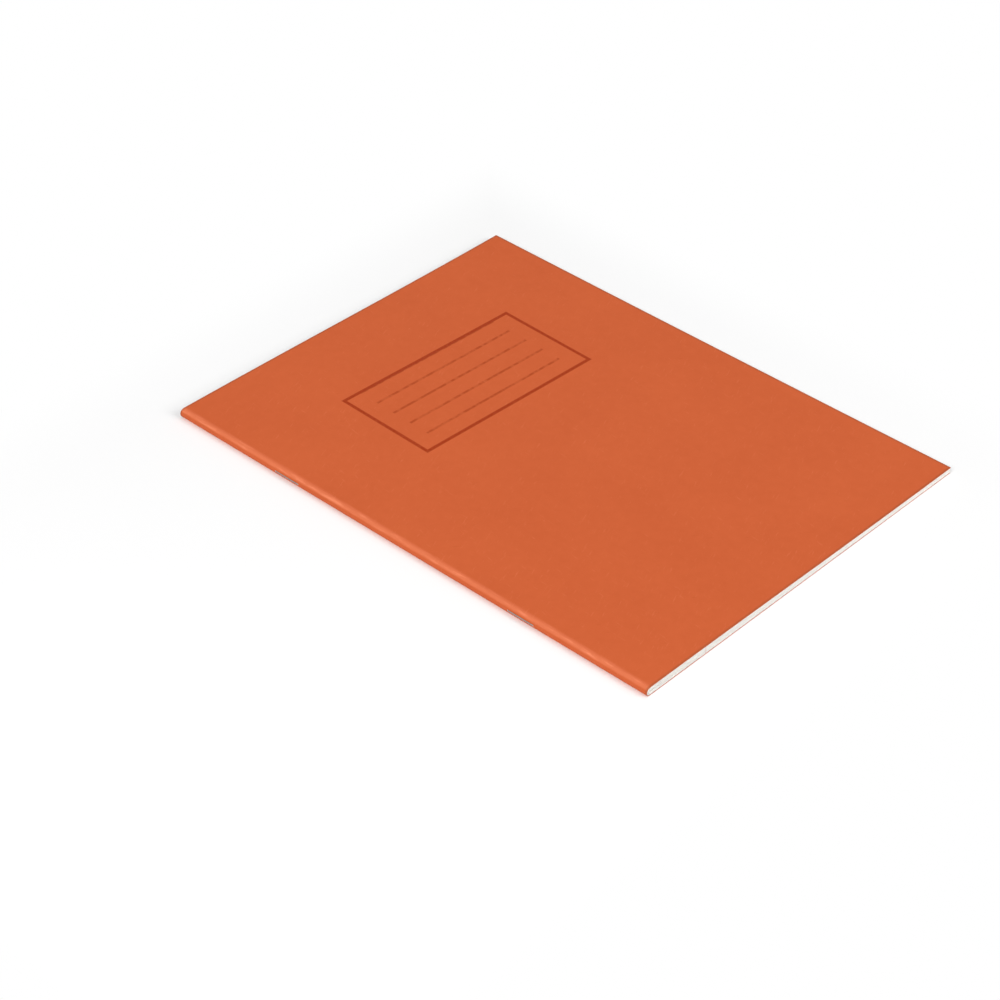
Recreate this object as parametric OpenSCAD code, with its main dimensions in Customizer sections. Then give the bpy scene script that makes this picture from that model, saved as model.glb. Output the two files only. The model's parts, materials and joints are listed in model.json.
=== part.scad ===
// School exercise book: folded sheets in a folded card cover, saddle-stitched with two wire staples.
// The book lies closed on its back cover. X runs from the spine to the fore-edge, Y from the tail
// to the head, Z is up, and the origin is under the middle of the book.

/* [Page] */
// Height of the trimmed book, tail to head
page_h = 229; // [148:1:300]
// Width of the trimmed book, spine fold to fore-edge
page_w = 178; // [105:1:230]
// Thickness of one paper leaf
paper_t = 0.075; // [0.05:0.005:0.15]
// Folded sheets in the book, two leaves each
sheets = 12; // [8:1:24]

/* [Cover] */
// Thickness of the cover card
card_t = 0.22; // [0.15:0.01:0.5]

/* [Fold] */
// Space between leaves at the fold, where the paper springs apart
fold_gap = 0.04; // [0.02:0.005:0.1]
// Space between leaves at the fore-edge, where the book lies pressed
fore_gap = 0.0025; // [0.002:0.0005:0.05]

/* [Staples] */
// Diameter of the staple wire
wire_d = 0.45; // [0.3:0.05:0.7]
// Length of a staple along the spine, outside to outside
crown_l = 12; // [8:0.5:20]
// Distance along the spine between the middles of the two staples
staple_pitch = 115; // [60:1:125]
// Radius on the inside of the wire's bends
bend_inside_r = 0.08; // [0.05:0.01:0.15]
// Space between the two clinched points of a staple
point_gap = 2.5; // [0.5:0.5:5]
// Room around the wire in the holes through the card and the paper
hole_clear = 0.06; // [0.05:0.01:0.1]
// Room around the clinched points inside the innermost fold
clinch_clear = 0.075; // [0.05:0.005:0.15]

/* [Hidden] */
$fn = 48;

leaves = 2 * sheets;
wire_r = wire_d / 2;
bend_r = wire_r + bend_inside_r;

// Radii of the folds, from the clinched wire in the centre out to the card
inner_fold_r = wire_r + clinch_clear;
fold_pitch = paper_t + fold_gap;
card_fold_r = inner_fold_r + sheets * fold_pitch;
spine_r = card_fold_r + card_t;

// Half thickness of the paper block and of the whole book at the fore-edge
fore_pitch = paper_t + fore_gap;
fore_half_t = sheets * fore_pitch + card_t;

// The outermost line of the spine is the line that every leaf and the cover turn about
hinge_x = wire_r / 2 - page_w / 2;
hinge_z = spine_r;

// Flat run of a leaf past the middle of the folds, and the fall of the block's middle along it
flat_l = page_w - spine_r;
fall = spine_r - fore_half_t;

// Y of a staple's two legs from its middle, and the legs' straight run from the hinge line to the
// inside of the innermost fold
leg_y = (crown_l - wire_d) / 2;
leg_l = spine_r - inner_fold_r;

// Y of the two staples' middles, tail and head
staple_places = [-staple_pitch / 2, staple_pitch / 2];

card_colour = "#d1623a";
paper_colour = "#f4f2ee";
wire_colour = "#b9bcc0";

function leaf_name(n) = str("leaf_", n < 10 ? "0" : "", n);

// Profile of half a folded sheet above the middle of the folds: a quarter ring and a plate whose
// inner face goes from fold_r at the fold to fore_z at the fore-edge.
module half_profile(fold_r, thickness, fore_z) {
    outer_r = fold_r + thickness;
    intersection() {
        difference() {
            circle(outer_r);
            circle(fold_r);
        }
        translate([-outer_r, 0])
            square(outer_r);
    }
    polygon([
        [0, fold_r],
        [flat_l, fore_z],
        [flat_l, fore_z + thickness],
        [0, outer_r]
    ]);
}

// Half a sheet at full height, punched for the staples. side is 1 for the upper half of the book
// and -1 for the lower one, and block_t is the thickness of leaves between it and the centre spread
// at the fore-edge.
module half_sheet(side, fold_r, thickness, block_t) {
    difference() {
        translate([hinge_x + spine_r, 0, hinge_z])
            mirror([0, 0, side < 0 ? 1 : 0])
            rotate([90, 0, 0])
            linear_extrude(page_h, center = true)
            half_profile(fold_r, thickness, block_t - side * fall);
        for (y = staple_places)
            staple_room(y);
    }
}

// Groove for a staple's crown on the hinge line, and the holes for its two legs through the folds
module staple_room(y) {
    radius = wire_r + hole_clear;
    translate([hinge_x, y, hinge_z]) {
        rotate([90, 0, 0])
            cylinder(h = crown_l + 2 * hole_clear, r = radius, center = true);
        for (leg = [-leg_y, leg_y])
            translate([0, leg, 0])
            rotate([0, 90, 0])
            cylinder(h = spine_r, r = radius);
    }
}

// Quarter bend of the wire in the XY plane, from +X round to +Y
module wire_bend() {
    rotate_extrude(angle = 90)
        translate([bend_r, 0])
        circle(wire_r);
}

// One leg of a staple with half of the crown: the crown lies on the hinge line, the leg goes
// through the folds, and its point is clinched along the centre crease.
module staple_half() {
    bend_y = leg_y - bend_r;
    point_y = point_gap / 2;
    rotate([-90, 0, 0])
        cylinder(h = bend_y, r = wire_r);
    translate([bend_r, bend_y, 0])
        rotate(90)
        wire_bend();
    translate([bend_r, leg_y, 0])
        rotate([0, 90, 0])
        cylinder(h = leg_l - bend_r, r = wire_r);
    translate([leg_l, bend_y, 0])
        wire_bend();
    translate([leg_l + bend_r, point_y, 0])
        rotate([-90, 0, 0])
        cylinder(h = bend_y - point_y, r = wire_r);
}

module staple(y) {
    color(wire_colour)
        translate([hinge_x, y, hinge_z]) {
            staple_half();
            mirror([0, 1, 0])
                staple_half();
        }
}

// Leaf n, counted from the front cover. The centre spread is between leaf sheets and the next one.
module leaf(n) {
    side = n <= sheets ? 1 : -1;
    layer = side > 0 ? sheets - n : n - sheets - 1;
    color(paper_colour)
        half_sheet(side, inner_fold_r + layer * fold_pitch, paper_t, layer * fore_pitch + fore_gap / 2);
}

module cover_half(side) {
    color(card_colour)
        half_sheet(side, card_fold_r, card_t, fore_half_t - card_t);
}

module front_cover() {
    cover_half(1);
}

module back_cover() {
    cover_half(-1);
}

module tail_staple() {
    staple(staple_places[0]);
}

module head_staple() {
    staple(staple_places[1]);
}

back_cover();
front_cover();
head_staple();
tail_staple();
for (n = [1 : leaves])
    leaf(n);
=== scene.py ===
import json
import math

import bpy
import numpy as np
from bpy.props import FloatProperty, FloatVectorProperty, IntProperty, PointerProperty
from mathutils import Matrix, Vector

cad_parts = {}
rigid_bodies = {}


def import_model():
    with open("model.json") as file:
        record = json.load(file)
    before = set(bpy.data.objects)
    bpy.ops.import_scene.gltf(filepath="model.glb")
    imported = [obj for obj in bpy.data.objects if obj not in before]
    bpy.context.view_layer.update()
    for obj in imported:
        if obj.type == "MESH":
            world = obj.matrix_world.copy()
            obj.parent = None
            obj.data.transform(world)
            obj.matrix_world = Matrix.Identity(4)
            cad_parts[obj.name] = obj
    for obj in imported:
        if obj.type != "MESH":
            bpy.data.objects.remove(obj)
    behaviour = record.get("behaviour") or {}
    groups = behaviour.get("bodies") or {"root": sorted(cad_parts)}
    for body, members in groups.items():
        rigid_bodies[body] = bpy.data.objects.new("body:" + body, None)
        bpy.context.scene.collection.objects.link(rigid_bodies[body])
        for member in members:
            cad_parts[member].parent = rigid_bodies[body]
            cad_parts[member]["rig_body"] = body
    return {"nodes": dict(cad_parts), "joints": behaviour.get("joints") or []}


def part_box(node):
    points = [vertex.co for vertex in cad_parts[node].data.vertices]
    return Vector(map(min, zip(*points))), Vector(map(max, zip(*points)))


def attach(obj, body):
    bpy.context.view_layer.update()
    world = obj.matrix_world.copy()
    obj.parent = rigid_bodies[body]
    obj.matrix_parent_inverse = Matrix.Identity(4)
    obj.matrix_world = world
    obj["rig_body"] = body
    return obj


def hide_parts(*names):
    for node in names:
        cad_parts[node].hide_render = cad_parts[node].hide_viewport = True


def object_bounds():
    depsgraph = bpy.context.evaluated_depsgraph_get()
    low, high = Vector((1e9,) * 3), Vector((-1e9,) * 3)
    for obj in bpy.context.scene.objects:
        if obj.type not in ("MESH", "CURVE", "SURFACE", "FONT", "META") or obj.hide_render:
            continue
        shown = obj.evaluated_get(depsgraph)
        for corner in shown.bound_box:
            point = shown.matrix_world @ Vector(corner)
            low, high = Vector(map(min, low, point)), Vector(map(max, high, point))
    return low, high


bl_info = {
    "name": "Exercise Book",
    "version": (1, 0, 0),
    "blender": (4, 5, 0),
    "location": "View3D > Sidebar > Exercise Book",
    "description": "Dresses a stapled school exercise book: card cover, ruled leaves and wire staples",
    "category": "Add Mesh",
}

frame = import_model()
CAD_LOW, CAD_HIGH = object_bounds()

MM = 0.001
HINGE_X, _, HINGE_Z = frame["joints"][0]["pos_m"]
COVER_LOW, COVER_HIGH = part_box("front_cover")
LEAF_NAMES = sorted(name for name in frame["nodes"] if name.startswith("leaf_"))
STAPLE_NAMES = ("tail_staple", "head_staple")
SHEETS = len(LEAF_NAMES) // 2
# Outside radius of the card's fold, and X of the middle of all folds
SPINE_R = HINGE_Z - CAD_LOW.z
FOLD_X = HINGE_X + SPINE_R

# Points of a sheet's profile round the fold and on the flat, and evenly spaced rows from tail to head
FOLD_POINTS, FLAT_POINTS, EVEN_ROWS = 13, 30, 25
# Fractions of the flat at which a profile has points, in steps that start at about this part of an even one
FIRST_STEP = 0.35
EVEN_RUN = np.linspace(0, 1, FLAT_POINTS + 1)[1:]
FLAT_RUN = FIRST_STEP * EVEN_RUN + (1 - FIRST_STEP) * EVEN_RUN**2
# Fractions of a leg hole's radius at which rows cross it and pass it
HOLE_ROWS = np.array([-1.07, -1.0, -0.98, -0.9, -0.7, -0.38, 0.0, 0.38, 0.7, 0.9, 0.98, 1.0, 1.07])
# Distances from the tail and the head at which a sheet has rows. Up to the first one a leaf's fold is a
# quarter circle, and from the last one on it reaches out to the card.
END_ROWS = np.array([0.5, 1.2, 2.0, 3.0, 4.0, 5.5]) * MM
# Decimals that a row's Y is rounded to, and how far off a limit it may then be
ROW_DECIMALS, ROW_SLACK = 8, 0.001 * MM
# Distance from face to face where the leaves meet in the crease, and height at which a leaf starts there
CREASE_STEP = 0.003 * MM
CREASE_START = 0.25 * CREASE_STEP
# Rise in the middle of a free edge, as a part of the rise at its corners
MIDDLE_RISE = 0.35
# Sides of the wire, and points of a staple's clinch and half crown, of a bend and of a leg
WIRE_SIDES, RUN_POINTS, BEND_POINTS, LEG_POINTS = 20, 14, 9, 6
# Length of a staple's chisel point, as a part of the wire's diameter
POINT_SLANT = 0.8
# Faces that meet at more than this angle show an edge
SHARP_ANGLE = math.radians(35)

# Stretch of the fibres in card and paper along their length
FIBRE_STRETCH = (7, 1, 1)
# Turns about Z of the card's fibres, two kinds pale and one dark, and of the paper's
PALE_TURNS, DARK_TURN, PAPER_TURN = (0.35, 1.45), 2.5, 0.6
# Where marks start to fade and end: the spine fold's pale rub, partly wear and partly a painted highlight,
# away from the spine and from the hinge's height; the darker band along the edges, in from the edges
RUB_AND_HIGHLIGHT_AWAY, RUB_AND_HIGHLIGHT_HEIGHT, EDGE_DARK_IN = (1.0 * MM, 3.2 * MM), (0.7 * MM, 1.5 * MM), (0.2 * MM, 1.2 * MM)
# Softness of the ends of the lines ruled in the panel
RULE_END = 0.1 * MM
# Sockets of a Mix node that mixes colours: factor, first, second and result
MIX_FACTOR, MIX_FIRST, MIX_SECOND, MIX_RESULT = 0, 6, 7, 2
WHITE = (1, 1, 1, 1)


def srgb(red, green, blue):
    """Linear colour of three screen values from 0 to 255."""
    shown = np.array([red, green, blue]) / 255
    linear = np.where(shown <= 0.04045, shown / 12.92, ((shown + 0.055) / 1.055) ** 2.4)
    return tuple(float(v) for v in linear)


def length(name, description, millimetres):
    """A property that holds a length, with its default in millimetres."""
    return FloatProperty(
        name=name, description=description, default=millimetres * MM, min=0, unit="LENGTH", precision=5
    )


def colour(name, description, *screen):
    """A property that holds a colour, with its default in screen values."""
    return FloatVectorProperty(
        name=name, description=description, default=srgb(*screen), min=0, max=1, subtype="COLOR"
    )


class ExerciseBookSizes(bpy.types.PropertyGroup):
    """Sizes of the sheets, the print and the staples"""

    card_t: length("Card", "Thickness of the cover card", 0.22)
    paper_t: length("Paper", "Thickness of one leaf", 0.075)
    centre_fold_r: length("Centre fold", "Inside radius of the innermost sheet's fold", 0.3)
    fore_t: length("Fore-edge", "Thickness of the closed book at the fore-edge", 2.3)
    leaf_spread: length("Leaf spread", "From the fold to where the leaves lie evenly", 16)
    cover_spring: length("Cover spring", "Rise of the front cover at its free corners", 0.4)
    leaf_spring: length("Leaf spring", "Rise of the first leaf at its free corners", 0.2)
    trim_play: length("Trim play", "How far a sheet may fall short of the trimmed edges", 0.12)
    play_seed: IntProperty(
        name="Play seed", description="Start of the draw of each sheet's play", default=7
    )
    panel_w: length("Panel width", "Width of the printed name panel", 89.6)
    panel_h: length("Panel height", "Height of the printed name panel", 44.55)
    panel_spine: length("Panel from spine", "From the spine to the near side of the panel", 47.4)
    panel_head: length("Panel from head", "From the head to the top of the panel", 40.65)
    panel_turn: FloatProperty(
        name="Panel turn", description="How far the print is turned on the card",
        default=math.radians(-1.5), subtype="ANGLE",
    )
    panel_frame: length("Panel frame", "Width of the panel's printed frame", 1.5)
    panel_rule: length("Panel rule", "Width of the lines ruled in the panel", 1.1)
    panel_pitch: length("Panel pitch", "Distance between the lines ruled in the panel", 8.9)
    panel_drop: length("Panel rule drop", "How far the ruled lines lie below the panel's middle", 0.6)
    panel_rule_l: length("Panel rule length", "Length of the lines ruled in the panel", 73.3)
    rule_pitch: length("Ruling", "Distance between the lines of a page", 8)
    rule_head: length("Ruling from head", "From the head to the first line of a page", 24)
    rule_w: length("Rule", "Width of a line on a page", 0.25)
    margin: length("Margin", "From the left side of a page to its margin line", 32)
    wire_d: length("Wire", "Diameter of the staple wire", 0.45)
    crown_l: length("Crown", "Length of a staple along the spine", 12)
    staple_pitch: length("Staple pitch", "Distance between the middles of the staples", 115)
    bend_inside_r: length("Wire bend", "Inside radius of the wire's bends", 0.08)
    point_gap: length("Point gap", "Space between the two clinched points of a staple", 2.5)
    hole_clear: length("Hole room", "Room round the wire in the card and the paper", 0.06)


class ExerciseBookColours(bpy.types.PropertyGroup):
    """Colours of the card, the inks, the paper and the wire"""

    card: colour("Card", "Dyed cover card", 208, 98, 54)
    card_deep: colour("Card, deep", "Darker patches of the dye", 199, 90, 46)
    card_fibre: colour("Card fibre", "Pale fibres in the card", 224, 126, 84)
    # Pale colour on the spine fold: partly worn card, partly a painted highlight on the fold's shoulder
    card_worn_and_highlight: colour("Worn fold", "Card rubbed pale along the spine", 238, 136, 96)
    # Colour of a darker band along the card's free edges
    card_edge_dark: colour("Soiled edge", "Handled edge of the card", 150, 78, 46)
    card_inside: colour("Card inside", "Uncoated inside of the card", 206, 102, 60)
    card_cut: colour("Card cut", "Cut edge of the card", 196, 100, 64)
    frame_ink: colour("Frame ink", "Ink of the name panel's frame", 160, 50, 2)
    rule_ink: colour("Panel rule ink", "Ink of the lines ruled in the panel", 174, 68, 24)
    paper: colour("Paper", "Uncoated paper", 245, 243, 238)
    # Grey paper tone for the aged patches and the trimmed edges; on the edges its streaks are painted shade
    # between leaves
    paper_cut: colour("Paper edge", "Trimmed edges of the leaves", 236, 229, 223)
    feint_ink: colour("Feint ink", "Ink of the lines of a page", 150, 176, 206)
    margin_ink: colour("Margin ink", "Ink of a page's margin line", 222, 120, 120)
    wire: colour("Wire", "Galvanised wire", 158, 156, 154)
    wire_dull: colour("Wire, dull", "Dull patches of the zinc", 116, 113, 111)


class ExerciseBook(bpy.types.PropertyGroup):
    """All that a user may change on the exercise book"""

    sizes: PointerProperty(type=ExerciseBookSizes)
    colours: PointerProperty(type=ExerciseBookColours)


class Shade:
    """A shader socket in an expression: arithmetic adds Math nodes, and node() adds any other node."""

    def __init__(self, tree, socket=None):
        self.tree = tree
        self.socket = socket

    def node(self, kind, settings=None, sockets=None, out=0):
        """Adds a node of this kind, with its settings first and then values or links for its sockets."""
        made = self.tree.nodes.new(kind)
        for name, value in (settings or {}).items():
            setattr(made, name, value)
        for name, value in (sockets or {}).items():
            if isinstance(value, Shade):
                self.tree.links.new(value.socket, made.inputs[name])
            else:
                made.inputs[name].default_value = value
        return Shade(self.tree, made.outputs[out] if made.outputs else None)

    def outputs(self, *names):
        """Named outputs of the node that this socket is on."""
        return [Shade(self.tree, self.socket.node.outputs[name]) for name in names]

    def math(self, operation, *values):
        """Adds a Math node that works on these values."""
        return self.node("ShaderNodeMath", {"operation": operation}, dict(enumerate(values)))

    def __add__(self, other):
        return self.math("ADD", self, other)

    def __sub__(self, other):
        return self.math("SUBTRACT", self, other)

    def __rsub__(self, other):
        return self.math("SUBTRACT", other, self)

    def __mul__(self, other):
        return self.math("MULTIPLY", self, other)

    def __truediv__(self, other):
        return self.math("DIVIDE", self, other)

    def __abs__(self):
        return self.math("ABSOLUTE", self)

    __radd__ = __add__
    __rmul__ = __mul__

    def sway(self, amount):
        """Noise from 0 to 1, as a change of this amount in all about 0."""
        return (self - 0.5) * amount

    def between(self, low, high):
        """low where this is 0, high where it is 1, and in proportion between."""
        return low + (high - low) * self

    def off_pitch(self, pitch):
        """Distance of this from the nearest whole multiple of pitch."""
        steps = self / pitch
        return (steps - self.math("ROUND", steps)) * pitch

    def smooth(self, low, high):
        """0 below low, 1 above high, and an S-curve between."""
        sockets = {"Value": self, "From Min": low, "From Max": high}
        return self.node("ShaderNodeMapRange", {"interpolation_type": "SMOOTHSTEP"}, sockets)

    def within(self, half, soft):
        """1 where this is nearer to 0 than half, fading over soft on either side of it."""
        return 1 - abs(self).smooth(half - soft, half + soft)

    def line(self, width):
        """1 on a printed line of this width, where this is the distance from its middle."""
        return self.within(0.5 * width, 0.2 * width)

    def noise(self, scale, detail=2.0, stretch=(1, 1, 1), turn=0.0):
        """Noise from 0 to 1 over this vector, with its grain stretched and turned about Z."""
        sockets = {"Vector": self, "Rotation": (0, 0, turn), "Scale": stretch}
        placed = self.node("ShaderNodeMapping", {"vector_type": "TEXTURE"}, sockets)
        return self.node("ShaderNodeTexNoise", {}, {"Vector": placed, "Scale": scale, "Detail": detail})

    def attribute(self, name, out="Fac"):
        """A value that the mesh carries under this name."""
        return self.node("ShaderNodeAttribute", {"attribute_name": name}, {}, out)


def mixed(factor, first, second):
    """Colour between two colours, each a linear triple or a socket."""
    first, second = (c if isinstance(c, Shade) else (*c, 1.0) for c in (first, second))
    sockets = {MIX_FACTOR: factor, MIX_FIRST: first, MIX_SECOND: second}
    return factor.node("ShaderNodeMix", {"data_type": "RGBA"}, sockets, MIX_RESULT)


def started(name):
    """A new material with an empty node tree, and a Shade to build it with."""
    material = bpy.data.materials.new(name)
    material.use_nodes = True
    material.node_tree.nodes.clear()
    return material, Shade(material.node_tree)


def finished(shade, surface):
    """Makes this shader the surface of its material."""
    shade.node("ShaderNodeOutputMaterial", {}, {"Surface": surface})


def finish_physical(shade, base, rough, bump, fixed):
    """Ends a material with a Principled shader: colour, roughness, a bump and values that are fixed.

    bump holds the bump's height, strength and depth.
    """
    bump = dict(zip(("Height", "Strength", "Distance"), bump))
    normal = shade.node("ShaderNodeBump", {}, bump)
    sockets = {"Base Color": base, "Roughness": rough, "Normal": normal, **fixed}
    finished(shade, shade.node("ShaderNodeBsdfPrincipled", {}, sockets))


def object_place(shade):
    """Object coordinates, whole and as separate X, Y and Z."""
    place = shade.node("ShaderNodeTexCoord", {}, {}, "Object")
    return place, shade.node("ShaderNodeSeparateXYZ", {}, {0: place}).outputs("X", "Y", "Z")


def panel_masks(sizes, x, y):
    """Masks of the name panel's frame and of its ruled lines.

    The frame follows the outline of a rectangle turned about its middle. The lines repeat at their pitch,
    from half a pitch above and below a line that lies panel_drop under the middle, and end at their length
    and at the frame.
    """
    from_x = x - (HINGE_X + sizes.panel_spine + sizes.panel_w / 2)
    from_y = y - (COVER_HIGH.y - sizes.panel_head - sizes.panel_h / 2)
    turn_x, turn_y = math.cos(sizes.panel_turn), math.sin(sizes.panel_turn)
    across = from_x * turn_x + from_y * turn_y
    up = from_y * turn_x - from_x * turn_y
    beyond_x = abs(across) - sizes.panel_w / 2
    beyond_y = abs(up) - sizes.panel_h / 2
    framed = x.math("MAXIMUM", beyond_x, beyond_y).line(sizes.panel_frame)
    off_line = (up + (sizes.panel_drop - sizes.panel_pitch / 2)).off_pitch(sizes.panel_pitch)
    ruled = off_line.line(sizes.panel_rule) * across.within(sizes.panel_rule_l / 2, RULE_END)
    return framed, ruled * up.within(sizes.panel_h / 2, RULE_END)


def card_material(name, book, has_panel):
    """Dyed card: soft patches of dye, pale and dark fibres, a spine fold with a pale rub and painted
    highlight, darker edges.

    The outside of the front also has the name panel. The seam inside the fold has the colour of the paper.
    """
    sizes, colours = book.sizes, book.colours
    material, shade = started(name)
    place, (x, y, z) = object_place(shade)
    outside, cut, seam = (shade.attribute(value) for value in ("outside", "cut", "seam"))

    patches = place.noise(scale=28, detail=3)
    mottle = place.noise(scale=260, detail=3)
    grain = place.noise(scale=4200)
    first, second, third = (
        place.noise(scale=1500, stretch=FIBRE_STRETCH, turn=turn) for turn in (*PALE_TURNS, DARK_TURN)
    )
    pale = first.smooth(0.62, 0.8) + second.smooth(0.64, 0.82)
    dark = third.smooth(0.66, 0.84)

    dye = 0.62 + patches.sway(1.1) + mottle.sway(0.7) + grain.sway(0.8) - 0.6 * dark
    base = mixed(dye, colours.card_deep, colours.card)
    base = mixed((1 - outside) * mottle.between(0.35, 1.15), base, colours.card_inside)
    base = mixed(pale * outside.between(0.55, 0.28), base, colours.card_fibre)

    # Pale rub along the spine fold's shoulder: partly wear, partly a painted highlight
    rub_and_painted_highlight = (1 - (x - HINGE_X).smooth(*RUB_AND_HIGHLIGHT_AWAY)) * abs(z - HINGE_Z).smooth(*RUB_AND_HIGHLIGHT_HEIGHT)
    breaks = place.noise(scale=700, detail=3, stretch=(1, 6, 1)).smooth(0.45, 0.75)
    base = mixed(rub_and_painted_highlight * breaks.between(0.42, 0.92), base, colours.card_worn_and_highlight)

    # A darker band along the head, tail and fore-edge
    to_edge = shade.math("MINIMUM", COVER_HIGH.y - abs(y), COVER_HIGH.x - x)
    edge_dark = (1 - to_edge.smooth(*EDGE_DARK_IN)) * place.noise(scale=160, detail=3).between(0.3, 0.75)
    base = mixed(edge_dark, base, colours.card_edge_dark)

    rough = 0.66 + patches.sway(0.16) + grain.sway(0.12) - rub_and_painted_highlight * 0.08
    if has_panel:
        framed, ruled = panel_masks(sizes, x, y)
        uneven = outside * place.noise(scale=1500).smooth(0.3, 0.6).between(0.8, 1.0)
        broken = place.noise(scale=330).smooth(0.38, 0.6).between(0.4, 0.95)
        base = mixed(ruled * uneven * broken, base, colours.rule_ink)
        base = mixed(framed * uneven, base, colours.frame_ink)
        rough = rough - (framed + ruled) * outside * 0.06
    base = mixed(cut, base, colours.card_cut)
    base = mixed(seam, base, mixed(grain, colours.paper_cut, colours.paper))

    height = grain * 0.5 + pale * 0.35 - dark * 0.3
    finish_physical(shade, base, rough, (height, 0.22, 0.04 * MM), {"Specular IOR Level": 0.15})
    return material


def paper_material(book):
    """Ruled paper: fine fibres, feint lines at a set pitch, and grey trimmed edges with streaks of painted
    shade between the leaves.

    A margin line, a fifth wider than the feint ones, stands left of each page: next to the spine on faces
    that point up, and next to the fore-edge on the others.
    """
    sizes, colours = book.sizes, book.colours
    material, shade = started("ruled_paper")
    place, (x, y, _) = object_place(shade)
    recto, cut, tint = (shade.attribute(value) for value in ("recto", "cut", "tint"))

    cloud = place.noise(scale=60, detail=3)
    fibre = place.noise(scale=1600, stretch=FIBRE_STRETCH, turn=PAPER_TURN)
    aged = cloud.sway(0.25) + fibre.smooth(0.55, 0.8) * 0.12 + tint * 0.1
    base = mixed(aged, colours.paper, colours.paper_cut)

    from_first = COVER_HIGH.y - sizes.rule_head - y
    below_head = from_first.smooth(-0.5 * sizes.rule_pitch, -0.45 * sizes.rule_pitch)
    feint = from_first.off_pitch(sizes.rule_pitch).line(sizes.rule_w) * below_head
    margin_x = recto.between(COVER_HIGH.x - sizes.margin, HINGE_X + sizes.margin)
    margin = (x - margin_x).line(1.2 * sizes.rule_w)
    printed = (1 - cut) * place.noise(scale=900).between(0.7, 1.0)
    base = mixed(feint * printed, base, colours.feint_ink)
    base = mixed(margin * printed, base, colours.margin_ink)

    # Painted shade: grey streaks across the trimmed edges stand for the shade in the gaps between leaves;
    # tint varies each leaf's tone
    shade_streaks = place.noise(scale=20, detail=3, stretch=(1, 1, 0.008)).smooth(0.3, 0.72)
    edge = mixed(shade_streaks * 0.75 + tint * 0.25, colours.paper, colours.paper_cut)
    base = mixed(cut, base, edge)

    rough = 0.78 + fibre.sway(0.16)
    finish_physical(shade, base, rough, (fibre, 0.15, 0.02 * MM), {"Specular IOR Level": 0.25})
    return material


def wire_material(book):
    """Galvanised wire: dull zinc patches and fine drawing marks that follow the wire."""
    colours = book.colours
    material, shade = started("galvanised_wire")
    along = shade.attribute("along_wire", "Vector")
    zinc = along.noise(scale=1.2, detail=3)
    marks = along.noise(scale=6, stretch=(14, 1, 1))
    dull = zinc.smooth(0.35, 0.75) * 0.7 + marks.sway(0.3)
    base = mixed(dull, colours.wire, colours.wire_dull)
    rough = 0.28 + zinc * 0.16 + marks.sway(0.12)
    finish_physical(shade, base, rough, (marks, 0.12, 0.01 * MM), {"Metallic": 1.0})
    return material


def mesh_piece(name, points, faces, material):
    """An object at the origin from an array of points and a list of face arrays, each of one face size.

    Faces are turned round where the volume that they enclose comes out negative.
    """
    fans = np.concatenate([f[:, [0, i, i + 1]] for f in faces for i in range(1, f.shape[1] - 1)])
    a, b, c = (points[fans[:, i]] - points[0] for i in range(3))
    if np.einsum("ij,ij->", a, np.cross(b, c)) < 0:
        faces = [f[:, ::-1] for f in faces]
    totals = np.concatenate([np.full(len(f), f.shape[1]) for f in faces])
    starts = np.concatenate([[0], np.cumsum(totals)[:-1]])
    corners = np.concatenate([f.ravel() for f in faces])

    mesh = bpy.data.meshes.new(name)
    mesh.vertices.add(len(points))
    mesh.vertices.foreach_set("co", points.astype(np.float32).ravel())
    mesh.loops.add(len(corners))
    mesh.loops.foreach_set("vertex_index", corners.astype(np.int32))
    mesh.polygons.add(len(totals))
    mesh.polygons.foreach_set("loop_start", starts.astype(np.int32))
    mesh.update(calc_edges=True)
    if mesh.validate():
        raise RuntimeError(f"{name} has faces that don't fit together")
    mesh.polygons.foreach_set("use_smooth", np.ones(len(totals), bool))
    mesh.set_sharp_from_angle(angle=SHARP_ANGLE)
    mesh.materials.append(material)
    piece = bpy.data.objects.new(name, mesh)
    bpy.context.scene.collection.objects.link(piece)
    return piece


def grid_quads(index, after):
    """Quads between the rows of a grid, by row and column, from each point's number and its neighbour's."""
    return np.stack([index[:-1], after[:-1], after[1:], index[1:]], axis=-1)


def face_values(piece, **values):
    """Puts named values on a piece's faces for its material to read, each an array or one number."""
    count = len(piece.data.polygons)
    for name, value in values.items():
        layer = piece.data.attributes.new(name, "FLOAT", "FACE")
        layer.data.foreach_set("value", np.broadcast_to(value, count).astype(np.float32))


def s_curve(part):
    """S-curve from 0 to 1, flat at both ends and beyond: three squares less two cubes."""
    part = np.clip(part, 0, 1)
    return part**2 * (3 - 2 * part)


def wire_room(sizes):
    """Radius of the holes and grooves that the wire lies in."""
    return sizes.wire_d / 2 + sizes.hole_clear


def half_crown(sizes):
    """Distance along the spine from a staple's middle to the middle of a leg."""
    return (sizes.crown_l - sizes.wire_d) / 2


def staple_middles(sizes):
    """Y of the middles of the two staples, half their pitch either way from the book's middle."""
    return np.array([-sizes.staple_pitch / 2, sizes.staple_pitch / 2])


def leg_places(sizes):
    """Y of all staple legs: each staple's middle, less and plus half its crown."""
    middles, half = staple_middles(sizes), half_crown(sizes)
    return np.sort(np.concatenate([middles - half, middles + half]))


def beside_crown(sizes, rows):
    """Whether each row passes a staple's crown."""
    from_middle = np.abs(rows[:, None] - staple_middles(sizes)).min(1)
    return from_middle < sizes.crown_l / 2 + sizes.hole_clear + ROW_SLACK


def sheet_rows(sizes, low, high):
    """Y of the rows of a sheet: even steps from low to high, and closer ones at the holes and the ends."""
    close = (leg_places(sizes)[:, None] + wire_room(sizes) * HOLE_ROWS).ravel()
    ends = COVER_HIGH.y - END_ROWS
    rows = np.concatenate([np.linspace(low, high, EVEN_ROWS), close, ends, -ends])
    return np.unique(np.round(rows, ROW_DECIMALS))


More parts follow.
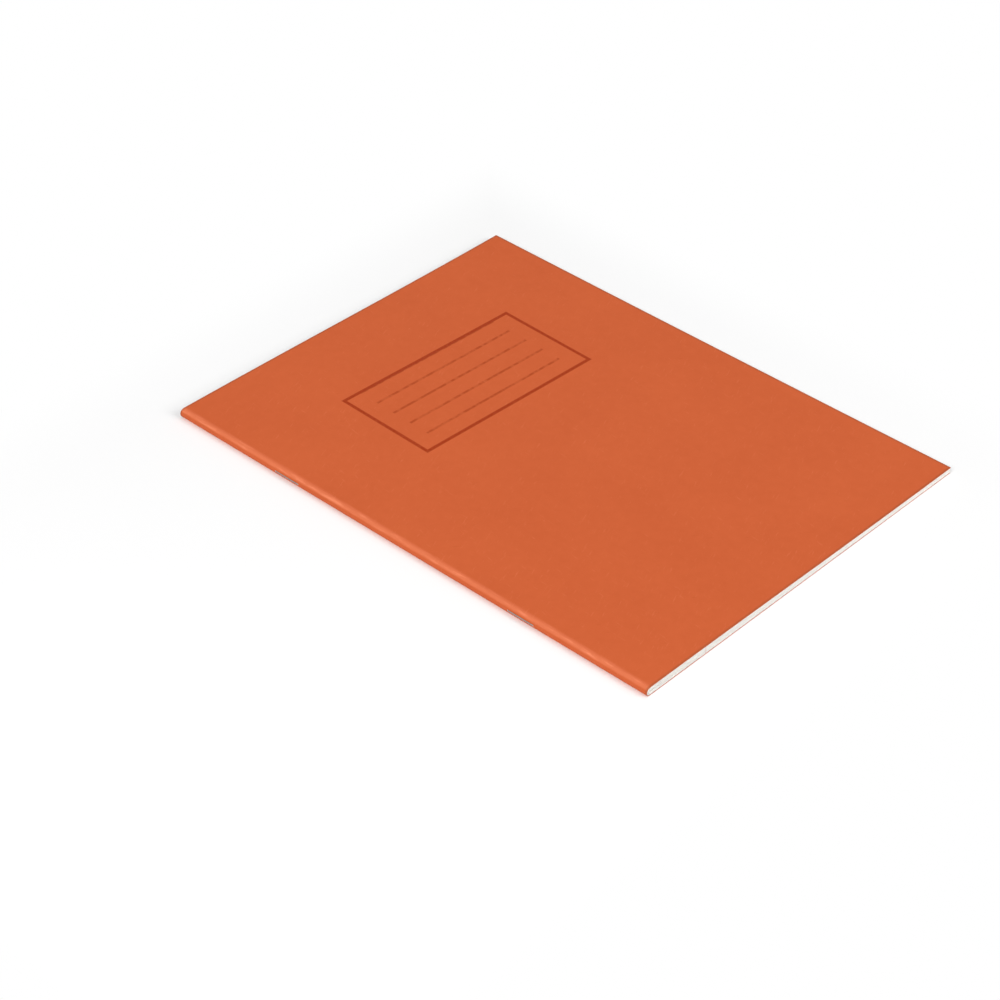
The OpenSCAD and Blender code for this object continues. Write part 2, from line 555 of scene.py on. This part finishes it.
def leg_hole_angles(sizes, radius, rows):
    """Angle round the fold at which a face of this height starts at the legs' holes, for each row.

    A hole is a circle, so the angle's sine is the circle's half chord at the row over the face's height.
    """
    off = np.abs(rows[:, None] - leg_places(sizes)).min(1)
    chord = np.sqrt(np.clip(wire_room(sizes) ** 2 - off**2, 0, None))
    return np.arcsin(np.clip(chord / radius, 0, 1))


def groove_angles(sizes, radius, rows):
    """Angle round the card's fold at which a crown's groove ends, by the cosine rule, for each row."""
    cosine = (SPINE_R**2 + radius**2 - wire_room(sizes) ** 2) / (2 * SPINE_R * radius)
    return np.where(beside_crown(sizes, rows), np.arccos(min(cosine, 1.0)), 0.0)


def fold_radius(sizes, layer):
    """Inside radius of a sheet's fold: equal steps from the innermost sheet to the card."""
    card_r = SPINE_R - sizes.card_t
    return sizes.centre_fold_r + (card_r - sizes.centre_fold_r) * layer / SHEETS


def fold_reach(sizes, face, radius, rows):
    """Half width of a leaf's fold, from the middle of the folds out to the crease, for each row.

    At the tail and the head it is the face's radius, so the folds show as nested quarter circles. Further
    in it grows along an S-curve until the leaf meets the card, or the groove beside a staple's crown, which
    closes the gutter of the open book. face counts faces from the centre spread, each a step further out.
    """
    short = np.where(beside_crown(sizes, rows), wire_room(sizes), sizes.card_t)
    full = SPINE_R - short - (2 * SHEETS - face) * CREASE_STEP
    to_end = COVER_HIGH.y - np.abs(rows)
    inward = (to_end - END_ROWS[0]) / (END_ROWS[-1] - END_ROWS[0])
    return radius + (full - radius) * s_curve(inward)


def flat_heights(sizes, side, layer, flat_l):
    """Height of a sheet's inner face above the middle of the folds, at each point of the flat.

    The middle of the book falls, and the space between it and the card closes, along half a cosine wave
    from the fold to the fore-edge. A sheet has a share of that space: at the fold its radius over the
    card's, and from leaf_spread on an even share, with an S-curve between them.
    """
    card_r = SPINE_R - sizes.card_t
    fore_space = sizes.fore_t / 2 - sizes.card_t
    wave = (1 - np.cos(np.pi * FLAT_RUN)) / 2
    space = card_r + (fore_space - card_r) * wave
    fold_share = fold_radius(sizes, layer) / card_r
    slack = (1 - SHEETS * sizes.paper_t / fore_space) / 2
    even_share = min((layer + slack) / SHEETS, 1.0)
    share = fold_share + (even_share - fold_share) * s_curve(FLAT_RUN * flat_l / sizes.leaf_spread)
    return space * share - side * (SPINE_R - sizes.fore_t / 2) * wave


def sheet_face(side, reach, radius, rows, start, flat_l, flat_z):
    """One face of half a folded sheet, as points by row and along the profile.

    The profile goes round a quarter ellipse about the middle of the folds, reach wide and radius high, from
    the angle start to the top, and then runs flat_l to the fore-edge at the heights flat_z above the
    middle. side is 1 for the upper half of the book and -1 for the lower.
    """
    angle = start[:, None] + (np.pi / 2 - start[:, None]) * np.linspace(0, 1, FOLD_POINTS)
    flat_x = np.broadcast_to(FOLD_X + flat_l * FLAT_RUN, flat_z.shape)
    x = np.concatenate([FOLD_X - reach[:, None] * np.cos(angle), flat_x], axis=1)
    z = np.concatenate([radius * np.sin(angle), flat_z], axis=1)
    y = np.broadcast_to(rows[:, None], x.shape)
    return np.stack([x, y, HINGE_Z + side * z], axis=-1)


def sheet_shell(outer, inner):
    """Points and quads of the closed shell between two faces of a sheet, and the quads' named values.

    A row's profile is the outer face from fold to fore-edge and the inner face back again. It is carried
    from row to row, and the first and last rows are closed by quads from face to face. Quads of the inner
    face start one corner on, so that both faces split along the same diagonals and stay clear of others.
    The values are 1 on the outer face (outside), on the trimmed edges (cut) and inside the fold (seam).
    """
    rows, count = outer.shape[:2]
    points = np.concatenate([outer, inner[:, ::-1]], axis=1).reshape(-1, 3)
    index = np.arange(rows * 2 * count).reshape(rows, 2 * count)
    around = grid_quads(index, np.roll(index, -1, axis=1))
    around[:, count:] = np.roll(around[:, count:], 1, axis=-1)
    near, far = index[:, :count], index[:, :count - 1:-1]
    caps = np.stack([near[:, :-1], far[:, :-1], far[:, 1:], near[:, 1:]], axis=-1)
    quads = np.concatenate([around.reshape(-1, 4), caps[0], caps[-1][:, ::-1]])

    column = np.tile(np.arange(2 * count), rows - 1)
    on_caps = np.ones(2 * (count - 1))
    values = {
        "outside": np.concatenate([column < count - 1, 0 * on_caps]),
        "cut": np.concatenate([column == count - 1, on_caps]),
        "seam": np.concatenate([column == 2 * count - 1, 0 * on_caps]),
    }
    return points, quads, values


def half_sheet(name, sizes, material, side, layer, thickness, rise, play=(0.0, 0.0, 0.0)):
    """Half of a folded sheet as a piece.

    layer counts the sheets inside it, rise is how far it springs up at its free corners, and play is taken
    off its fore-edge, tail and head. The spring grows with the cube of the distance from the fold, and
    along the free edge with the square of the distance from its middle.
    """
    flat_l = COVER_HIGH.x - HINGE_X - SPINE_R - play[0]
    rows = sheet_rows(sizes, COVER_LOW.y + play[1], COVER_HIGH.y - play[2])
    edge_rise = rise * (MIDDLE_RISE + (1 - MIDDLE_RISE) * (rows / COVER_HIGH.y) ** 2)
    flat_z = flat_heights(sizes, side, layer, flat_l) + edge_rise[:, None] * FLAT_RUN**3

    faces = []
    for face, step in ((2 * layer, 0.0), (2 * layer + 1, thickness)):
        radius = fold_radius(sizes, layer) + step
        start = leg_hole_angles(sizes, radius, rows)
        if layer < SHEETS:
            reach = fold_reach(sizes, face, radius, rows)
            start = np.maximum(start, CREASE_START / radius)
        else:
            reach = np.full(len(rows), radius)
            start = np.maximum(start, groove_angles(sizes, radius, rows))
        faces.append(sheet_face(side, reach, radius, rows, start, flat_l, flat_z + step))
    inner, outer = faces
    points, quads, values = sheet_shell(outer, inner)
    piece = mesh_piece(name, points, [quads], material)
    outside = values["outside"]
    face_values(piece, **values, recto=outside if side > 0 else 1 - outside)
    return piece


def wire_path(sizes, middle):
    """Points, headings and run of a staple's centre line in the plane of the fold.

    From one clinched point it goes along the centre crease, round a bend, straight out through the
    folds, round a bend on to the hinge line, along the crown, and back in the same way on the other side.
    """
    bend = sizes.wire_d / 2 + sizes.bend_inside_r
    half = half_crown(sizes)
    deep = SPINE_R - sizes.centre_fold_r
    quarter = np.linspace(0, np.pi / 2, BEND_POINTS)
    clinch = np.linspace(sizes.point_gap / 2, half - bend, RUN_POINTS)
    leg = np.linspace(deep, bend, LEG_POINTS)[1:-1]
    crown = np.linspace(half - bend, 0, RUN_POINTS)[1:]
    turned = quarter[1:]
    # X from the hinge line, Y from the staple's middle, and heading
    stretches = (
        (deep + bend, clinch, np.pi / 2),
        (deep + bend * np.cos(turned), half - bend + bend * np.sin(turned), np.pi / 2 + turned),
        (leg, half, np.pi),
        (bend - bend * np.sin(quarter), half - bend + bend * np.cos(quarter), np.pi + quarter),
        (0.0, crown, 1.5 * np.pi),
    )
    joined = [np.stack(np.broadcast_arrays(*stretch)) for stretch in stretches]
    x, y, heading = np.concatenate(joined, axis=1)
    x = np.concatenate([x, x[-2::-1]])
    y = np.concatenate([y, -y[-2::-1]])
    heading = np.concatenate([heading, 3 * np.pi - heading[-2::-1]])
    points = np.stack([HINGE_X + x, middle + y, np.full(len(x), HINGE_Z)], axis=-1)
    steps = np.linalg.norm(np.diff(points, axis=0), axis=1)
    return points, heading, np.concatenate([[0], np.cumsum(steps)])


def staple_piece(name, sizes, material, middle):
    """A staple: a circle carried along the wire's path, with both ends cut to a chisel point.

    The last ring at either end is slanted, by moving each of its points along the wire in step with its
    distance across it, and is closed by a fan of triangles.
    """
    path, heading, run = wire_path(sizes, middle)
    radius = sizes.wire_d / 2
    around = np.linspace(0, 2 * np.pi, WIRE_SIDES, endpoint=False)
    cosine, sine = np.cos(around), np.sin(around)
    level = np.zeros_like(heading)
    ahead = np.stack([np.cos(heading), np.sin(heading), level], axis=-1)
    across = np.stack([-np.sin(heading), np.cos(heading), level], axis=-1)
    ring = cosine[:, None] * across[:, None] + sine[:, None] * np.array([0, 0, 1.0])
    points = path[:, None] + radius * ring
    slant = POINT_SLANT * radius * (1 + cosine)[:, None]
    points[0] += slant * ahead[0]
    points[-1] -= slant * ahead[-1]
    ends = np.stack([points[0].mean(0), points[-1].mean(0)])

    total = len(path) * WIRE_SIDES
    index = np.arange(total).reshape(-1, WIRE_SIDES)
    after = np.roll(index, -1, axis=1)
    quads = grid_quads(index, after).reshape(-1, 4)
    first = np.stack([np.full(WIRE_SIDES, total), after[0], index[0]], axis=-1)
    last = np.stack([np.full(WIRE_SIDES, total + 1), index[-1], after[-1]], axis=-1)
    points = np.concatenate([points.reshape(-1, 3), ends])
    piece = mesh_piece(name, points, [quads, np.concatenate([first, last])], material)

    run = run / MM
    along = np.stack(np.broadcast_arrays(run[:, None], cosine, sine), axis=-1).reshape(-1, 3)
    along = np.concatenate([along, [[0, 0, 0], [run[-1], 0, 0]]])
    layer = piece.data.attributes.new("along_wire", "FLOAT_VECTOR", "POINT")
    layer.data.foreach_set("vector", along.astype(np.float32).ravel())
    return piece


class EXERCISEBOOK_OT_cover(bpy.types.Operator):
    """Build the folded card cover, front and back"""

    bl_idname = "exercise_book.cover"
    bl_label = "Card Cover"

    def execute(self, context):
        book = context.scene.exercise_book
        sizes = book.sizes
        for node, side, rise in (("front_cover", 1, sizes.cover_spring), ("back_cover", -1, 0.0)):
            material = card_material(f"{node}_card", book, side > 0)
            piece = half_sheet(f"{node}_card", sizes, material, side, SHEETS, sizes.card_t, rise)
            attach(piece, node)
            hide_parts(node)
        return {"FINISHED"}


class EXERCISEBOOK_OT_leaves(bpy.types.Operator):
    """Build the ruled leaves, two to a folded sheet"""

    bl_idname = "exercise_book.leaves"
    bl_label = "Ruled Leaves"

    def execute(self, context):
        book = context.scene.exercise_book
        sizes = book.sizes
        material = paper_material(book)
        draw = np.random.default_rng(sizes.play_seed)
        plays = sizes.trim_play * draw.random((SHEETS, 3))
        tints = draw.random(2 * SHEETS)
        for number, (node, tint) in enumerate(zip(LEAF_NAMES, tints), 1):
            side = 1 if number <= SHEETS else -1
            layer = SHEETS - number if side > 0 else number - SHEETS - 1
            rise = sizes.leaf_spring * (layer / (SHEETS - 1)) ** 2 if side > 0 else 0.0
            piece = half_sheet(
                f"{node}_paper", sizes, material, side, layer, sizes.paper_t, rise, plays[layer]
            )
            face_values(piece, tint=tint)
            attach(piece, node)
            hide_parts(node)
        return {"FINISHED"}


class EXERCISEBOOK_OT_staples(bpy.types.Operator):
    """Build the two wire staples through the spine"""

    bl_idname = "exercise_book.staples"
    bl_label = "Wire Staples"

    def execute(self, context):
        book = context.scene.exercise_book
        material = wire_material(book)
        for node, middle in zip(STAPLE_NAMES, staple_middles(book.sizes)):
            piece = staple_piece(f"{node}_wire", book.sizes, material, middle)
            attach(piece, frame["nodes"][node]["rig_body"])
            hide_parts(node)
        return {"FINISHED"}


def seen_directly(shade):
    """1 for rays from the camera, from a gloss or through glass, and 0 for the light between surfaces."""
    kinds = ("Is Camera Ray", "Is Glossy Ray", "Is Transmission Ray")
    camera, glossy, through = shade.node("ShaderNodeLightPath").outputs(*kinds)
    return shade.math("MINIMUM", camera + glossy + through, 1.0)


class EXERCISEBOOK_OT_stage(bpy.types.Operator):
    """Set the pale floor, the soft lamps, the white surroundings and the camera"""

    bl_idname = "exercise_book.stage"
    bl_label = "Stage"

    # X and Y of the floor's points, and its height, just clear of the book
    FLOOR_SPAN = (-6.0, 0.0, 6.0)
    FLOOR_Z = -0.02 * MM
    FLOOR_COLOUR = (0.98, 0.98, 0.98, 1)
    # Distances from the book over which the floor fades into white
    FLOOR_FADE = (0.003, 0.05)
    # Strength of the surroundings as light between surfaces, and as seen directly
    SKY = (0.3, 1.0)
    # Place, size and power of each soft lamp. All face the book.
    LAMPS = {
        "spine_lamp": ((-2.1, -0.5, 2.1), 1.8, 58.0),
        "tail_lamp": ((0.6, -2.3, 1.6), 1.6, 36.0),
        "top_lamp": ((0.4, 0.8, 2.8), 2.4, 8.0),
    }
    # The camera's place, its right and forward directions, lens and sensor in mm, and clipping distances
    EYE = Vector((-0.68157, -0.55172, 0.64009))
    RIGHT = Vector((0.66905, -0.74237, 0.03547))
    AHEAD = Vector((0.60531, 0.51659, -0.60559))
    LENS, SENSOR = 103.9, 36
    CLIP = (0.01, 50)

    def execute(self, context):
        scene = context.scene
        scene.view_settings.view_transform = "Standard"
        self.set_floor()
        self.set_world(scene)
        for name, (place, size, power) in self.LAMPS.items():
            self.set_lamp(scene, name, Vector(place), size, power)
        self.set_camera(scene)
        return {"FINISHED"}

    def set_floor(self):
        """A flat grid, pale round the book and white further off where it is seen directly."""
        material, shade = started("pale_floor")
        _, (x, y, _) = object_place(shade)
        past_x = abs(x - HINGE_X) - (COVER_HIGH.x - HINGE_X)
        past = shade.math("MAXIMUM", past_x, abs(y) - COVER_HIGH.y)
        factor = past.smooth(*self.FLOOR_FADE) * seen_directly(shade)
        pale = shade.node("ShaderNodeBsdfDiffuse", {}, {"Color": self.FLOOR_COLOUR})
        white = shade.node("ShaderNodeEmission", {}, {"Color": WHITE, "Strength": 1.0})
        finished(shade, shade.node("ShaderNodeMixShader", {}, {0: factor, 1: pale, 2: white}))

        points = np.stack(np.meshgrid(self.FLOOR_SPAN, self.FLOOR_SPAN, self.FLOOR_Z), axis=-1)
        index = np.arange(len(self.FLOOR_SPAN) ** 2).reshape(len(self.FLOOR_SPAN), -1)
        quads = grid_quads(index[:, :-1], index[:, 1:]).reshape(-1, 4)
        mesh_piece("floor", points.reshape(-1, 3), [quads], material)

    def set_world(self, scene):
        """White surroundings, weaker as light than as seen."""
        world = bpy.data.worlds.new("white_surroundings")
        world.use_nodes = True
        world.node_tree.nodes.clear()
        shade = Shade(world.node_tree)
        strength = seen_directly(shade).between(*self.SKY)
        sky = shade.node("ShaderNodeBackground", {}, {"Color": WHITE, "Strength": strength})
        shade.node("ShaderNodeOutputWorld", {}, {"Surface": sky})
        scene.world = world

    def set_lamp(self, scene, name, place, size, power):
        """A square lamp that faces the origin."""
        lamp = bpy.data.lights.new(name, "AREA")
        lamp.shape = "SQUARE"
        lamp.size = size
        lamp.energy = power
        made = bpy.data.objects.new(name, lamp)
        made.location = place
        made.rotation_euler = (-place).to_track_quat("-Z", "Y").to_euler()
        scene.collection.objects.link(made)

    def set_camera(self, scene):
        """The photograph's camera, with its axes squared to its forward direction."""
        data = bpy.data.cameras.new("photograph_camera")
        data.lens = self.LENS
        data.sensor_width = self.SENSOR
        data.clip_start, data.clip_end = self.CLIP
        camera = bpy.data.objects.new("photograph_camera", data)
        back = -self.AHEAD.normalized()
        right = (self.RIGHT - self.RIGHT.project(back)).normalized()
        turned = Matrix((right, back.cross(right), back)).transposed()
        camera.matrix_world = Matrix.Translation(self.EYE) @ turned.to_4x4()
        scene.collection.objects.link(camera)
        scene.camera = camera


class VIEW3D_PT_exercise_book(bpy.types.Panel):
    """Pieces, sizes and colours of the exercise book"""

    bl_label = "Exercise Book"
    bl_space_type = "VIEW_3D"
    bl_region_type = "UI"
    bl_category = "Exercise Book"

    def draw(self, context):
        book = context.scene.exercise_book
        for operator in OPERATORS:
            self.layout.operator(operator.bl_idname)
        for group in (book.sizes, book.colours):
            box = self.layout.box()
            for name in group.__annotations__:
                box.prop(group, name)


OPERATORS = (
    EXERCISEBOOK_OT_stage, EXERCISEBOOK_OT_cover, EXERCISEBOOK_OT_leaves, EXERCISEBOOK_OT_staples,
)
CLASSES = (
    ExerciseBookSizes, ExerciseBookColours, ExerciseBook, *OPERATORS, VIEW3D_PT_exercise_book,
)


def register():
    """Registers the classes, and the book's properties on the scene."""
    for cls in CLASSES:
        bpy.utils.register_class(cls)
    bpy.types.Scene.exercise_book = PointerProperty(type=ExerciseBook)


def unregister():
    """Takes back what register did, in reverse order."""
    del bpy.types.Scene.exercise_book
    for cls in reversed(CLASSES):
        bpy.utils.unregister_class(cls)


def main():
    """Builds the stage and the book."""
    register()
    bpy.ops.exercise_book.stage()
    bpy.ops.exercise_book.cover()
    bpy.ops.exercise_book.leaves()
    bpy.ops.exercise_book.staples()


if __name__ == "__main__":
    main()
